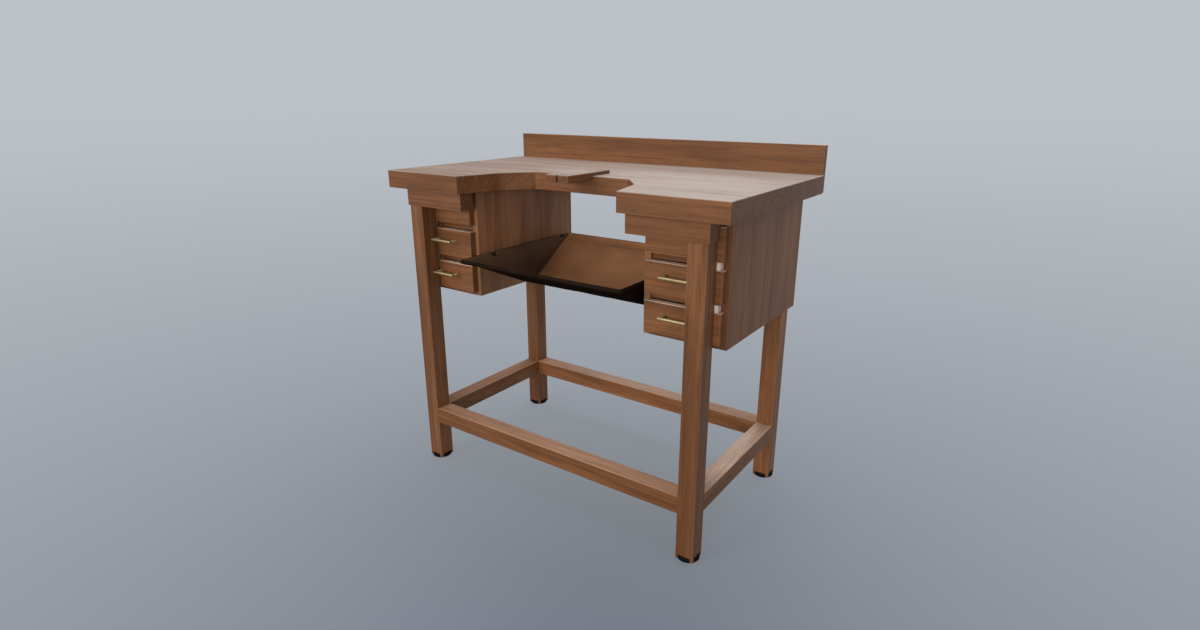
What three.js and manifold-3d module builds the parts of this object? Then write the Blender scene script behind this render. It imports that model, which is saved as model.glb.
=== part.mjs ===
// A jeweller's bench: a thick worktop with a body cut-out and a bench pin, carried on a
// four-legged frame, with a drawer cabinet on each side and a leather skin hung between them
// to catch filings. Millimetres, +Z up, +Y to the back, +X to the right of the person seated
// at the cut-out. The origin is on the floor, under the middle of the whole bench.

import * as THREE from 'three';
import { mergeVertices } from 'three/addons/utils/BufferGeometryUtils.js';
import Module from 'manifold-3d';

const wasm = await Module();
wasm.setup();

// Worktop, and the upstand screwed to its back edge
const topWidth = 1100;
const topDepth = 600;
const topThickness = 50;
const topHeight = 936;
const upstandHeight = 80;
const upstandThickness = 20;
const upstandEndInset = 4;

// Body cut-out: wide at the front edge, turning in twice to a straight back edge
const cutMouthWidth = 524;
const cutWaistWidth = 456;
const cutWaistDepth = 132;
const cutBackWidth = 316;
const cutDepth = 218;
const cutCornerRadius = 9;

// Bench pin, let into the worktop behind the cut-out
const pinWidth = 76;
const pinThickness = 20;
const pinOverhang = 109;
const pinSeatLength = 84;
const pinLetIn = 10;
const pinNotchMouth = 5;
const pinNotchLength = 46;
const pinCornerRadius = 3;

// Legs, the bearers on top of them and their joints
const legSize = 50;
const legEndInset = 60;
const legFrontInset = 23;
const legRearInset = 25;
const bearerHeight = 50;
const bearerDepth = 50;
const bearerFrontInset = 20;
const bearerEndInset = 55;
const bearerKneeReach = 12.5;
const legTenonSize = 26;
const legTenonHeight = 25;

// Stretchers near the floor
const stretcherHeight = 50;
const stretcherDepth = 50;
const stretcherRise = 133;
const tenonEndGap = 1;
const tenonThickness = 12;
const tenonHeight = 30;

// Rubber feet, wider than the leg, so that they show through each of its faces
const footDiameter = 60;
const footHeight = 12;
const footStand = 1.5;
const footEase = 1.5;
const footRecessDiameter = 14;
const footRecessDepth = 5;
const footSides = 32;

// Cabinets
const cabinetWidth = 230.5;
const cabinetHeight = 316;
const cabinetBesideLeg = 27;
const cabinetBehindLeg = 17.5;
const sideThickness = 18;
const backThickness = 12;
const bottomThickness = 12;
const partitionThickness = 12;
const blockTongue = 54;

// Drawer fronts: three to a cabinet, the top one fixed behind the bearer
const frontCount = 3;
const frontThickness = 19;
const frontSpacing = 19;
const lowestFrontRise = 13;
const highestFrontDrop = 19;
const innerOverlay = 6.5;
const outerOverlay = 7;
const drawerNames = ['lower', 'middle'];

// Drawer boxes, dovetailed into the fronts, the runners under them and the rails that close the
// gaps between the fronts
const boxBackGap = 43;
const boxWall = 10;
const boxFloorThickness = 6;
const boxFloorRise = 5;
const boxBelowFrontTop = 6;
const boxAboveFrontBottom = 12;
const runnerWidth = 12;
const runnerHeight = 10;
const railDepth = 22;
const railSetback = 6;
const tailCount = 2;
const tailLength = 13;
const tailRootHeight = 15;
const tailEndHeight = 22;

// Bar pulls
const pullBarDiameter = 9;
const pullBarLength = 82;
const pullBarSides = 16;
const pullBarEase = 1.2;
const pullPostDiameter = 7;
const pullPostInset = 5;
const pullPostSides = 12;
const pullStandoff = 27;
const pullDrop = 31.5;
const pullEdgeInset = 2;

// Leather skin, its rod frame and the hooks that carry the frame
const skinSideGap = 14.5;
const skinFrontInset = 6.5;
const skinBackInset = 95;
const skinRimDrop = 191;
const skinDrop = 106;
const skinSideRun = 46;
const skinFoldRadius = 15;
const skinCornerRadius = 10;
const skinThickness = 2.6;
const skinRings = 6;
const skinRingCrowding = 1.6;
const skinSideSteps = 5;
const skinCornerSteps = 3;
const rodDiameter = 6;
const rodSides = 12;
const hemThickness = 2.4;
const hemStartAngle = 180;
const hemEndAngle = -125;
const hemSteps = 9;
const hookWidth = 12;
const hookThickness = 2.4;
const hookPlateHeight = 34;
const hookLipHeight = 4;
const hookFrontInset = 43;
const hookBackInset = 46;
const hemWindowMargin = 5;

// Clearances
const glueGap = 0.2;
const jointGap = 0.3;
const drawerGap = 2;
const legGap = 1;
const closingGap = 0.5;
const weldTolerance = 1e-4;

// Finishes, one for each material on the bench
const benchWood = { color: 0x7d5539, roughness: 0.55, metalness: 0 };
const topWood = { color: 0x8a6247, roughness: 0.45, metalness: 0 };
const drawerWood = { color: 0x9c7a58, roughness: 0.65, metalness: 0 };
const brass = { color: 0xb99a5b, roughness: 0.3, metalness: 1 };
const rubber = { color: 0x0c0c0c, roughness: 0.85, metalness: 0 };
const leather = { color: 0x4a3122, roughness: 0.7, metalness: 0 };
const steel = { color: 0x6d6d6c, roughness: 0.4, metalness: 1 };

// Places that several pieces share
const frontEdge = -(topDepth + glueGap + upstandThickness) / 2;
const backEdge = frontEdge + topDepth;
const underside = topHeight - topThickness;
const legOuter = topWidth / 2 - legEndInset;
const legInner = legOuter - legSize;
const legFront = frontEdge + legFrontInset;
const legBack = legFront + legSize;
const rearLegBack = backEdge - legRearInset;
const rearLegFront = rearLegBack - legSize;
const bearerTop = underside - glueGap;
const bearerBottom = bearerTop - bearerHeight;
const legTop = bearerBottom - glueGap;
const frontFace = legBack + legGap;
const frontRear = frontFace + frontThickness;
const cabinetFront = frontRear + closingGap;
const cabinetBack = rearLegFront + cabinetBehindLeg;
const cabinetTop = underside - glueGap;
const cabinetBottom = cabinetTop - cabinetHeight;
const cabinetOuter = legOuter + cabinetBesideLeg;
const cabinetInner = cabinetOuter - cabinetWidth;
const bayInner = cabinetInner + sideThickness;
const bayOuter = legInner;
const partitionOuter = bayOuter + partitionThickness;
const outerSideInner = cabinetOuter - sideThickness;
const backBoardRear = rearLegFront - glueGap;
const backBoardFront = backBoardRear - backThickness;
const bottomTop = cabinetBottom + bottomThickness;
const frontStackHeight = cabinetHeight - lowestFrontRise - highestFrontDrop;
const frontHeight = (frontStackHeight - (frontCount - 1) * frontSpacing) / frontCount;
const frontInner = bayInner - innerOverlay;
const frontOuter = outerSideInner + outerOverlay;
const boxInner = bayInner + drawerGap;
const boxOuter = bayOuter - drawerGap;
const rodRadius = rodDiameter / 2;
const hemInnerRadius = rodRadius + jointGap;
const hemRadius = hemInnerRadius + hemThickness;
const skinHalfWidth = cabinetInner - skinSideGap;
const skinRimHeight = underside - skinRimDrop;
const skinFront = frontEdge + skinFrontInset;
const skinBack = backEdge - skinBackInset;
const skinMiddle = (skinFront + skinBack) / 2;
const skinHalfDepth = (skinBack - skinFront) / 2;

// Geometry helpers

const alongX = new THREE.Matrix4().makeBasis(
  new THREE.Vector3(0, 1, 0), new THREE.Vector3(0, 0, 1), new THREE.Vector3(1, 0, 0));
const alongY = new THREE.Matrix4().makeBasis(
  new THREE.Vector3(0, 0, 1), new THREE.Vector3(1, 0, 0), new THREE.Vector3(0, 1, 0));

// A range of X on the right-hand side, mirrored when hand is -1
function sided(hand, near, far) {
  return hand > 0 ? [near, far] : [-far, -near];
}

function block([x0, x1], [y0, y1], [z0, z1]) {
  const geometry = new THREE.BoxGeometry(x1 - x0, y1 - y0, z1 - z0);
  return geometry.translate((x0 + x1) / 2, (y0 + y1) / 2, (z0 + z1) / 2);
}

function grown([low, high], margin) {
  return [low - margin, high + margin];
}

// An outline whose listed corners are eased by a short curve
function easedShape(points, radii) {
  const shape = new THREE.Shape();
  const corners = points.map(([x, y]) => new THREE.Vector2(x, y));
  corners.forEach((corner, index) => {
    const before = corners[(index + corners.length - 1) % corners.length];
    const after = corners[(index + 1) % corners.length];
    const enter = before.clone().sub(corner).setLength(radii[index]).add(corner);
    const leave = after.clone().sub(corner).setLength(radii[index]).add(corner);
    if (index === 0) {
      shape.moveTo(enter.x, enter.y);
    } else {
      shape.lineTo(enter.x, enter.y);
    }
    if (radii[index] > 0) {
      shape.quadraticCurveTo(corner.x, corner.y, leave.x, leave.y);
    }
  });
  return shape;
}

function plainShape(points) {
  return new THREE.Shape(points.map(([x, y]) => new THREE.Vector2(x, y)));
}

function extrude(shape, length) {
  return new THREE.ExtrudeGeometry(shape, { depth: length, bevelEnabled: false, curveSegments: 4 });
}

function extrudeUp(shape, [z0, z1]) {
  return extrude(shape, z1 - z0).translate(0, 0, z0);
}

// The outline is given in Y and Z and runs along X
function extrudeAcross(points, [x0, x1]) {
  return extrude(plainShape(points), x1 - x0).applyMatrix4(alongX).translate(x0, 0, 0);
}

// The outline is given in X and Z and runs along Y
function extrudeBack(points, [y0, y1]) {
  const turned = points.map(([x, z]) => [z, x]);
  return extrude(plainShape(turned), y1 - y0).applyMatrix4(alongY).translate(0, y0, 0);
}

// A solid of revolution about Z, from an outline of radius and height
function turned(outline, sides) {
  const points = outline.map(([radius, height]) => new THREE.Vector2(radius, height));
  return new THREE.LatheGeometry(points, sides).rotateX(Math.PI / 2);
}

// A bar along X with eased ends
function easedBar(diameter, ease, sides, [x0, x1], y, z) {
  const radius = diameter / 2;
  const outline = [
    [0, x0], [radius - ease, x0], [radius, x0 + ease], [radius, x1 - ease], [radius - ease, x1], [0, x1],
  ];
  return turned(outline, sides).rotateY(Math.PI / 2).translate(0, y, z);
}

function barAlongY(diameter, sides, x, [y0, y1], z) {
  const bar = new THREE.CylinderGeometry(diameter / 2, diameter / 2, y1 - y0, sides);
  return bar.translate(x, (y0 + y1) / 2, z);
}

function barAlongZ(diameter, sides, x, y, [z0, z1]) {
  const bar = new THREE.CylinderGeometry(diameter / 2, diameter / 2, z1 - z0, sides);
  return bar.rotateX(Math.PI / 2).translate(x, y, (z0 + z1) / 2);
}

// Boolean cuts and joins on closed meshes

function toSolid(geometry) {
  const bare = geometry.clone();
  bare.deleteAttribute('normal');
  bare.deleteAttribute('uv');
  const welded = mergeVertices(bare, weldTolerance);
  return new wasm.Manifold(new wasm.Mesh({
    numProp: 3,
    vertProperties: Float32Array.from(welded.attributes.position.array),
    triVerts: Uint32Array.from(welded.index.array),
  }));
}

function toGeometry(solid) {
  const mesh = solid.getMesh();
  const geometry = new THREE.BufferGeometry();
  geometry.setAttribute('position', new THREE.BufferAttribute(mesh.vertProperties, 3));
  geometry.setIndex(new THREE.BufferAttribute(mesh.triVerts, 1));
  geometry.computeVertexNormals();
  return geometry;
}

function joined(...geometries) {
  return toGeometry(geometries.map(toSolid).reduce((whole, part) => whole.add(part)));
}

function cut(body, ...tools) {
  return toGeometry(tools.map(toSolid).reduce((rest, tool) => rest.subtract(tool), toSolid(body)));
}

const bench = new THREE.Group();

// Each piece keeps its geometry round its own centre and is placed by its position
function addPiece(name, geometry, finish, parent = bench) {
  geometry.computeBoundingBox();
  const centre = geometry.boundingBox.getCenter(new THREE.Vector3());
  geometry.translate(-centre.x, -centre.y, -centre.z);
  const mesh = new THREE.Mesh(geometry, new THREE.MeshStandardMaterial(finish));
  mesh.name = name;
  mesh.position.copy(centre);
  parent.add(mesh);
}

// Worktop, upstand and bench pin

const pinFront = frontEdge + cutDepth - pinOverhang;
const pinBack = frontEdge + cutDepth + pinSeatLength;
const pinBottom = topHeight - pinLetIn;

function worktopShape() {
  const half = topWidth / 2;
  const leftCut = [
    [-cutMouthWidth / 2, frontEdge],
    [-cutWaistWidth / 2, frontEdge + cutWaistDepth],
    [-cutBackWidth / 2, frontEdge + cutDepth],
  ];
  const rightCut = leftCut.map(([x, y]) => [-x, y]).reverse();
  const points = [
    [-half, frontEdge], ...leftCut, ...rightCut, [half, frontEdge], [half, backEdge], [-half, backEdge],
  ];
  const eased = points.map(([x, y]) => (Math.abs(x) < half && y > frontEdge ? cutCornerRadius : 0));
  return easedShape(points, eased);
}

function worktop() {
  const board = extrudeUp(worktopShape(), [underside, topHeight]);
  const housing = block(
    grown([-pinWidth / 2, pinWidth / 2], jointGap),
    [pinFront, pinBack + jointGap],
    [pinBottom - jointGap, topHeight + pinThickness]);
  return cut(board, housing);
}

function benchPin() {
  const half = pinWidth / 2;
  const points = [
    [-half, pinFront],
    [-pinNotchMouth / 2, pinFront],
    [0, pinFront + pinNotchLength],
    [pinNotchMouth / 2, pinFront],
    [half, pinFront],
    [half, pinBack],
    [-half, pinBack],
  ];
  const outerCorner = points.map(([x, y]) => (x === -half || x === half) && y === pinFront);
  const radii = outerCorner.map((outer) => (outer ? pinCornerRadius : 0));
  return extrudeUp(easedShape(points, radii), [pinBottom, pinBottom + pinThickness]);
}

addPiece('worktop', worktop(), topWood);
addPiece('bench_pin', benchPin(), topWood);
addPiece('back_upstand', block(
  grown([-topWidth / 2, topWidth / 2], -upstandEndInset),
  [backEdge + glueGap, backEdge + glueGap + upstandThickness],
  [underside, topHeight + upstandHeight]), benchWood);

// Legs, feet, bearers and stretchers

const corners = [
  { name: 'front_left', hand: -1, back: false },
  { name: 'front_right', hand: 1, back: false },
  { name: 'rear_left', hand: -1, back: true },
  { name: 'rear_right', hand: 1, back: true },
];

const stretcherHeights = [stretcherRise, stretcherRise + stretcherHeight];
const tenonLength = (legSize - tenonThickness) / 2 - tenonEndGap;
const tenonHeights = [
  stretcherRise + (stretcherHeight - tenonHeight) / 2,
  stretcherRise + (stretcherHeight + tenonHeight) / 2,
];

function legRangeY(back) {
  return back ? [rearLegFront, rearLegBack] : [legFront, legBack];
}

function legCentre({ hand, back }) {
  const [y0, y1] = legRangeY(back);
  return { x: hand * (legInner + legOuter) / 2, y: (y0 + y1) / 2 };
}

// The tenon that a long stretcher has at one end, and that a short one has at one end
function longTenon(hand, back, margin) {
  const centre = legCentre({ hand, back });
  return block(
    grown(sided(hand, legInner - tenonLength, legInner + tenonLength), margin),
    grown([centre.y - tenonThickness / 2, centre.y + tenonThickness / 2], margin),
    grown(tenonHeights, margin));
}

function shortTenon(hand, back, margin) {
  const centre = legCentre({ hand, back });
  const shoulder = back ? rearLegFront : legBack;
  return block(
    grown([centre.x - tenonThickness / 2, centre.x + tenonThickness / 2], margin),
    grown([shoulder - tenonLength, shoulder + tenonLength], margin),
    grown(tenonHeights, margin));
}

function legTenon(corner, margin) {
  const { x, y } = legCentre(corner);
  const half = legTenonSize / 2;
  return block(
    grown([x - half, x + half], margin),
    grown([y - half, y + half], margin),
    grown([legTop - legTenonHeight, legTop + legTenonHeight], margin));
}

function leg(corner) {
  const { x, y } = legCentre(corner);
  const post = block(sided(corner.hand, legInner, legOuter), legRangeY(corner.back), [footStand, legTop]);
  const socketTop = footHeight + jointGap;
  const socket = barAlongZ(footDiameter + 2 * jointGap, footSides, x, y, [-footHeight, socketTop]);
  return cut(
    joined(post, legTenon(corner, 0)),
    socket,
    longTenon(corner.hand, corner.back, jointGap),
    shortTenon(corner.hand, corner.back, jointGap));
}

// A rubber disc with an eased lower edge and a recess for its screw
function foot(corner) {
  const { x, y } = legCentre(corner);
  const radius = footDiameter / 2;
  const recess = footRecessDiameter / 2;
  const outline = [
    [0, footRecessDepth],
    [recess, footRecessDepth],
    [recess, 0],
    [radius - footEase, 0],
    [radius, footEase],
    [radius, footHeight],
    [0, footHeight],
  ];
  return joined(turned(outline, footSides).translate(x, y, 0));
}

for (const corner of corners) {
  addPiece(`${corner.name}_leg`, leg(corner), benchWood);
  addPiece(`${corner.name}_foot`, foot(corner), rubber);
}

function bearer(rangeX, rangeY, legsUnder) {
  const beam = block(rangeX, rangeY, [bearerBottom, bearerTop]);
  return cut(beam, ...legsUnder.map((corner) => legTenon(corner, jointGap)));
}

const bearerOuter = topWidth / 2 - bearerEndInset;
const bearerFront = frontEdge + bearerFrontInset;
for (const corner of corners.filter(({ back }) => !back)) {
  const rangeX = sided(corner.hand, cabinetInner - bearerKneeReach, bearerOuter);
  const beam = bearer(rangeX, [bearerFront, bearerFront + bearerDepth], [corner]);
  addPiece(`${corner.name}_bearer`, beam, benchWood);
}
addPiece('rear_bearer', bearer(
  [-bearerOuter, bearerOuter],
  [rearLegFront, rearLegFront + bearerDepth],
  corners.filter(({ back }) => back)), benchWood);

function longStretcher(back) {
  const { y } = legCentre({ hand: 1, back });
  const rail = block(
    [-legInner + glueGap, legInner - glueGap],
    [y - stretcherDepth / 2, y + stretcherDepth / 2],
    stretcherHeights);
  return joined(rail, longTenon(-1, back, 0), longTenon(1, back, 0));
}

function shortStretcher(hand) {
  const { x } = legCentre({ hand, back: false });
  const rail = block(
    [x - stretcherDepth / 2, x + stretcherDepth / 2],
    [legBack + glueGap, rearLegFront - glueGap],
    stretcherHeights);
  return joined(rail, shortTenon(hand, false, 0), shortTenon(hand, true, 0));
}

addPiece('front_stretcher', longStretcher(false), benchWood);
addPiece('rear_stretcher', longStretcher(true), benchWood);
addPiece('left_stretcher', shortStretcher(-1), benchWood);
addPiece('right_stretcher', shortStretcher(1), benchWood);

// Cabinets: two sides up to the worktop, a back, a bottom, and a partition in line with the
// legs that parts the drawer bay from the narrow space behind the front leg. Rails cross the
// front in the gaps between the drawer fronts, let into the partition

function frontRangeZ(level) {
  const low = cabinetBottom + lowestFrontRise + level * (frontHeight + frontSpacing);
  return [low, low + frontHeight];
}

function boxRangeZ(level) {
  const [low, high] = frontRangeZ(level);
  return [low + boxAboveFrontBottom, high - boxBelowFrontTop];
}

const railFront = cabinetFront + railSetback;

// The rail over the front of one level, grown by a margin where the partition is notched for it
function frontRail(hand, level, margin) {
  const [, below] = frontRangeZ(level);
  const [above] = frontRangeZ(level + 1);
  return block(
    grown(sided(hand, bayInner + glueGap, outerSideInner - glueGap), margin),
    grown([railFront, railFront + railDepth], margin),
    grown([below + glueGap, above - glueGap], margin));
}

// One runner on the knee side of a drawer's bay and one on the partition's side
function runners(hand, level, bottom) {
  const [boxBottom] = boxRangeZ(level);
  const ranges = {
    inner: [bayInner + glueGap, bayInner + glueGap + runnerWidth],
    outer: [bayOuter - glueGap - runnerWidth, bayOuter - glueGap],
  };
  return Object.entries(ranges).map(([place, [near, far]]) => ({
    place,
    bar: block(
      sided(hand, near, far),
      [railFront, backBoardFront - glueGap],
      [bottom, boxBottom - jointGap]),
  }));
}

// The rail under the middle drawer, with that drawer's two runners joined to its back
function runnerFrame(hand) {
  const [, below] = frontRangeZ(0);
  const bars = runners(hand, 1, below + glueGap).map(({ bar }) => bar);
  return joined(frontRail(hand, 0, 0), ...bars);
}

// The knee-side panel is notched at its top rear corner, round the rear bearer
function innerSide(hand) {
  const notchFront = rearLegFront - glueGap;
  const notchBottom = bearerBottom - glueGap;
  const outline = [
    [cabinetFront, cabinetBottom],
    [cabinetBack, cabinetBottom],
    [cabinetBack, notchBottom],
    [notchFront, notchBottom],
    [notchFront, cabinetTop],
    [cabinetFront, cabinetTop],
  ];
  return extrudeAcross(outline, sided(hand, cabinetInner, bayInner));
}

// A block that fills the front beside the drawer, behind the leg, with a tongue between the
// partition and the outer side
function sideBlock(hand, level) {
  const outline = [
    [bayOuter, frontFace],
    [frontOuter, frontFace],
    [frontOuter, frontRear],
    [outerSideInner - glueGap, frontRear],
    [outerSideInner - glueGap, frontRear + blockTongue],
    [partitionOuter + glueGap, frontRear + blockTongue],
    [partitionOuter + glueGap, frontRear],
    [bayOuter, frontRear],
  ];
  const sidedOutline = outline.map(([x, y]) => [hand * x, y]);
  return extrudeUp(plainShape(sidedOutline), frontRangeZ(level));
}

function addCabinet(side, hand) {
  const cabinet = new THREE.Group();
  const inside = sided(hand, bayInner + glueGap, outerSideInner - glueGap);
  const depthInside = [cabinetFront, backBoardFront - glueGap];
  const add = (name, geometry, finish) => addPiece(`${side}_cabinet_${name}`, geometry, finish, cabinet);
  add('inner_side', innerSide(hand), benchWood);
  add('outer_side', block(
    sided(hand, outerSideInner, cabinetOuter),
    [cabinetFront, cabinetBack],
    [cabinetBottom, cabinetTop]), benchWood);
  add('back', block(inside, [backBoardFront, backBoardRear], [cabinetBottom, cabinetTop]), drawerWood);
  add('bottom', block(inside, depthInside, [cabinetBottom, bottomTop]), drawerWood);
  const partition = block(
    sided(hand, bayOuter, partitionOuter),
    depthInside,
    [bottomTop + glueGap, cabinetTop]);
  const notches = drawerNames.map((_, level) => frontRail(hand, level, glueGap));
  add('partition', cut(partition, ...notches), drawerWood);
  add('runner_frame', runnerFrame(hand), benchWood);
  add('upper_rail', frontRail(hand, 1, 0), benchWood);
  add('fixed_front', block(
    sided(hand, frontInner, frontOuter),
    [frontFace, frontRear],
    frontRangeZ(frontCount - 1)), benchWood);
  drawerNames.forEach((name, level) => add(`${name}_block`, sideBlock(hand, level), benchWood));
  bench.add(cabinet);
}

// Drawers: a front with half-blind dovetail sockets, a box whose sides end in the tails, and
// a bar pull

// One dovetail in Y and Z, narrow at the back face of the front and wide at its end
function dovetail(rangeX, middle, margin) {
  const root = tailRootHeight / 2 + margin;
  const end = tailEndHeight / 2 + margin;
  const tip = frontRear - tailLength - margin;
  const outline = [
    [frontRear + boxWall, middle - root],
    [frontRear + boxWall, middle + root],
    [frontRear, middle + root],
    [tip, middle + end],
    [tip, middle - end],
    [frontRear, middle - root],
  ];
  return extrudeAcross(outline, grown(rangeX, margin));
}

function drawerTails(hand, level, margin) {
  const [low, high] = boxRangeZ(level);
  const pitch = (high - low) / tailCount;
  const walls = [sided(hand, boxInner, boxInner + boxWall), sided(hand, boxOuter - boxWall, boxOuter)];
  const tails = [];
  for (let index = 0; index < tailCount; index += 1) {
    const middle = low + pitch * (index + 0.5);
    walls.forEach((wall) => tails.push(dovetail(wall, middle, margin)));
  }
  return tails;
}

function drawerFront(hand, level) {
  const board = block(sided(hand, frontInner, boxOuter), [frontFace, frontRear], frontRangeZ(level));
  return cut(board, ...drawerTails(hand, level, jointGap));
}

function drawerBox(hand, level) {
  const [low, high] = boxRangeZ(level);
  const rear = backBoardFront - boxBackGap;
  const outer = block(sided(hand, boxInner, boxOuter), [frontRear + jointGap, rear], [low, high]);
  const inside = sided(hand, boxInner + boxWall, boxOuter - boxWall);
  const floorBottom = low + boxFloorRise;
  const hollow = block(
    inside,
    [frontRear - boxWall, rear - boxWall],
    [floorBottom + boxFloorThickness, high + boxWall]);
  const underFloor = block(inside, [frontRear - boxWall, rear - boxWall], [low - boxWall, floorBottom]);
  return joined(cut(outer, hollow, underFloor), ...drawerTails(hand, level, 0));
}

// The pull stands at the leg's end of the front, clear of the leg
function barPull(hand, level) {
  const barOuter = boxOuter - pullEdgeInset;
  const barInner = barOuter - pullBarLength;
  const [, high] = frontRangeZ(level);
  const height = high - pullDrop;
  const barY = frontFace - pullStandoff;
  const face = frontFace - glueGap;
  const posts = [barInner + pullPostInset, barOuter - pullPostInset].map((x) => (
    barAlongY(pullPostDiameter, pullPostSides, hand * x, [barY, face], height)));
  const rangeX = sided(hand, barInner, barOuter);
  return joined(easedBar(pullBarDiameter, pullBarEase, pullBarSides, rangeX, barY, height), ...posts);
}

function addDrawer(side, hand, name, level) {
  const drawer = new THREE.Group();
  const label = `${side}_${name}_drawer`;
  addPiece(`${label}_front`, drawerFront(hand, level), benchWood, drawer);
  addPiece(`${label}_box`, drawerBox(hand, level), drawerWood, drawer);
  addPiece(`${label}_pull`, barPull(hand, level), brass, drawer);
  bench.add(drawer);
}

// The lowest drawer has two plain runners, a little above the cabinet's bottom
function addLowestRunners(side, hand) {
  const [boxBottom] = boxRangeZ(0);
  runners(hand, 0, boxBottom - jointGap - runnerHeight).forEach(({ place, bar }) => (
    addPiece(`${side}_${drawerNames[0]}_${place}_runner`, bar, drawerWood)));
}

for (const [side, hand] of [['left', -1], ['right', 1]]) {
  addCabinet(side, hand);
  addLowestRunners(side, hand);
  drawerNames.forEach((name, level) => addDrawer(side, hand, name, level));
}

// Leather skin: a sheet with a hem round a steel rod frame, falling from all four sides to a
// fold that runs from left to right under the cut-out. It is lofted through level rings, which
// are round-cornered rectangles from the fold up to the rim and then round the rod

function skinRing({ halfWidth, halfDepth, radius, height }, sideSteps) {
  const quarters = [[1, -1, -90], [1, 1, 0], [-1, 1, 90], [-1, -1, 180]];
  const arcs = quarters.map(([signX, signY, start]) => {
    const x = signX * (halfWidth - radius);
    const y = skinMiddle + signY * (halfDepth - radius);
    return Array.from({ length: skinCornerSteps + 1 }, (_, step) => {
      const angle = THREE.MathUtils.degToRad(start + 90 * step / skinCornerSteps);
      return new THREE.Vector3(x + radius * Math.cos(angle), y + radius * Math.sin(angle), height);
    });
  });
  return arcs.flatMap((arc, index) => {
    const from = arc[skinCornerSteps];
    const to = arcs[(index + 1) % arcs.length][0];
    const between = Array.from({ length: sideSteps - 1 }, (_, step) => (
      from.clone().lerp(to, (step + 1) / sideSteps)));
    return [...arc, ...between];
  });
}

// Rings joined one to the next: into a loop, or with the first and the last one closed off
function loft(rings, looped) {
  const size = rings[0].length;
  const indices = [];
  const strips = looped ? rings.length : rings.length - 1;
  for (let strip = 0; strip < strips; strip += 1) {
    const low = strip * size;
    const high = ((strip + 1) % rings.length) * size;
    for (let spot = 0; spot < size; spot += 1) {
      const next = (spot + 1) % size;
      indices.push(low + spot, low + next, high + next, low + spot, high + next, high + spot);
    }
  }
  if (!looped) {
    const last = (rings.length - 1) * size;
    const outline = (ring) => ring.map(({ x, y }) => new THREE.Vector2(x, y));
    THREE.ShapeUtils.triangulateShape(outline(rings[0]), []).forEach(([a, b, c]) => indices.push(c, b, a));
    THREE.ShapeUtils.triangulateShape(outline(rings[rings.length - 1]), []).forEach(([a, b, c]) => (
      indices.push(last + a, last + b, last + c)));
  }
  const geometry = new THREE.BufferGeometry().setFromPoints(rings.flat());
  geometry.setIndex(indices);
  geometry.computeVertexNormals();
  return geometry;
}

// A ring at an angle round the rod, 0 degrees on the far side and 90 on top
function rimRing(distance, degrees, sideSteps) {
  const angle = THREE.MathUtils.degToRad(degrees);
  const outward = distance * Math.cos(angle);
  return skinRing({
    halfWidth: skinHalfWidth + outward,
    halfDepth: skinHalfDepth + outward,
    radius: skinCornerRadius + outward,
    height: skinRimHeight + distance * Math.sin(angle),
  }, sideSteps);
}

// A ring on the inside of the skin, from share 0 at the fold to 1 at the hem, or on its underside
function wallRing(share, thickness) {
  const rimDepth = skinHalfDepth - hemRadius;
  const rimWidth = skinHalfWidth - hemRadius;
  const foldWidth = skinHalfWidth - skinSideRun;
  const halfDepth = rimDepth * share;
  const rise = Math.hypot(halfDepth, skinFoldRadius) / Math.hypot(rimDepth, skinFoldRadius);
  const slopeAngles = [skinSideRun, skinHalfDepth].map((run) => Math.atan2(skinDrop, run));
  const [spreadX, spreadY] = slopeAngles.map((angle) => (
    thickness * (1 - Math.cos(angle)) / Math.sin(angle)));
  const cornerRadius = skinCornerRadius - hemRadius + (1 - share) * skinFoldRadius / 2;
  return skinRing({
    halfWidth: THREE.MathUtils.lerp(foldWidth, rimWidth, share) + spreadX,
    halfDepth: halfDepth + spreadY,
    radius: Math.min(cornerRadius, halfDepth) + spreadY,
    height: skinRimHeight - skinDrop * (1 - rise) - thickness,
  }, skinSideSteps);
}

function skinSheet() {
  const shares = Array.from({ length: skinRings }, (_, index) => (
    ((index + 1) / skinRings) ** skinRingCrowding));
  const angles = Array.from({ length: hemSteps + 1 }, (_, step) => (
    THREE.MathUtils.lerp(hemStartAngle, hemEndAngle, step / hemSteps)));
  return loft([
    ...shares.map((share) => wallRing(share, skinThickness)),
    ...angles.map((angle) => rimRing(hemInnerRadius, angle, skinSideSteps)),
    ...angles.toReversed().map((angle) => rimRing(hemRadius, angle, skinSideSteps)),
    ...shares.slice(0, -1).toReversed().map((share) => wallRing(share, 0)),
  ], false);
}

function rodFrame() {
  const rings = Array.from({ length: rodSides }, (_, side) => rimRing(rodRadius, 360 * side / rodSides, 1));
  return loft(rings, true);
}

const hookPlaces = [
  { name: 'front', y: cabinetFront + hookFrontInset },
  { name: 'rear', y: skinBack - hookBackInset },
];

// The hem is left open where a hook takes hold of the rod
function hemWindow(hand, y) {
  const half = hookWidth / 2 + hemWindowMargin;
  return block(
    grown(sided(hand, skinHalfWidth, skinHalfWidth), hemRadius + hemWindowMargin),
    [y - half, y + half],
    grown([skinRimHeight, skinRimHeight], hemRadius + hookThickness));
}

function leatherSkin() {
  const windows = [-1, 1].flatMap((hand) => hookPlaces.map(({ y }) => hemWindow(hand, y)));
  return cut(skinSheet(), ...windows);
}

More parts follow.
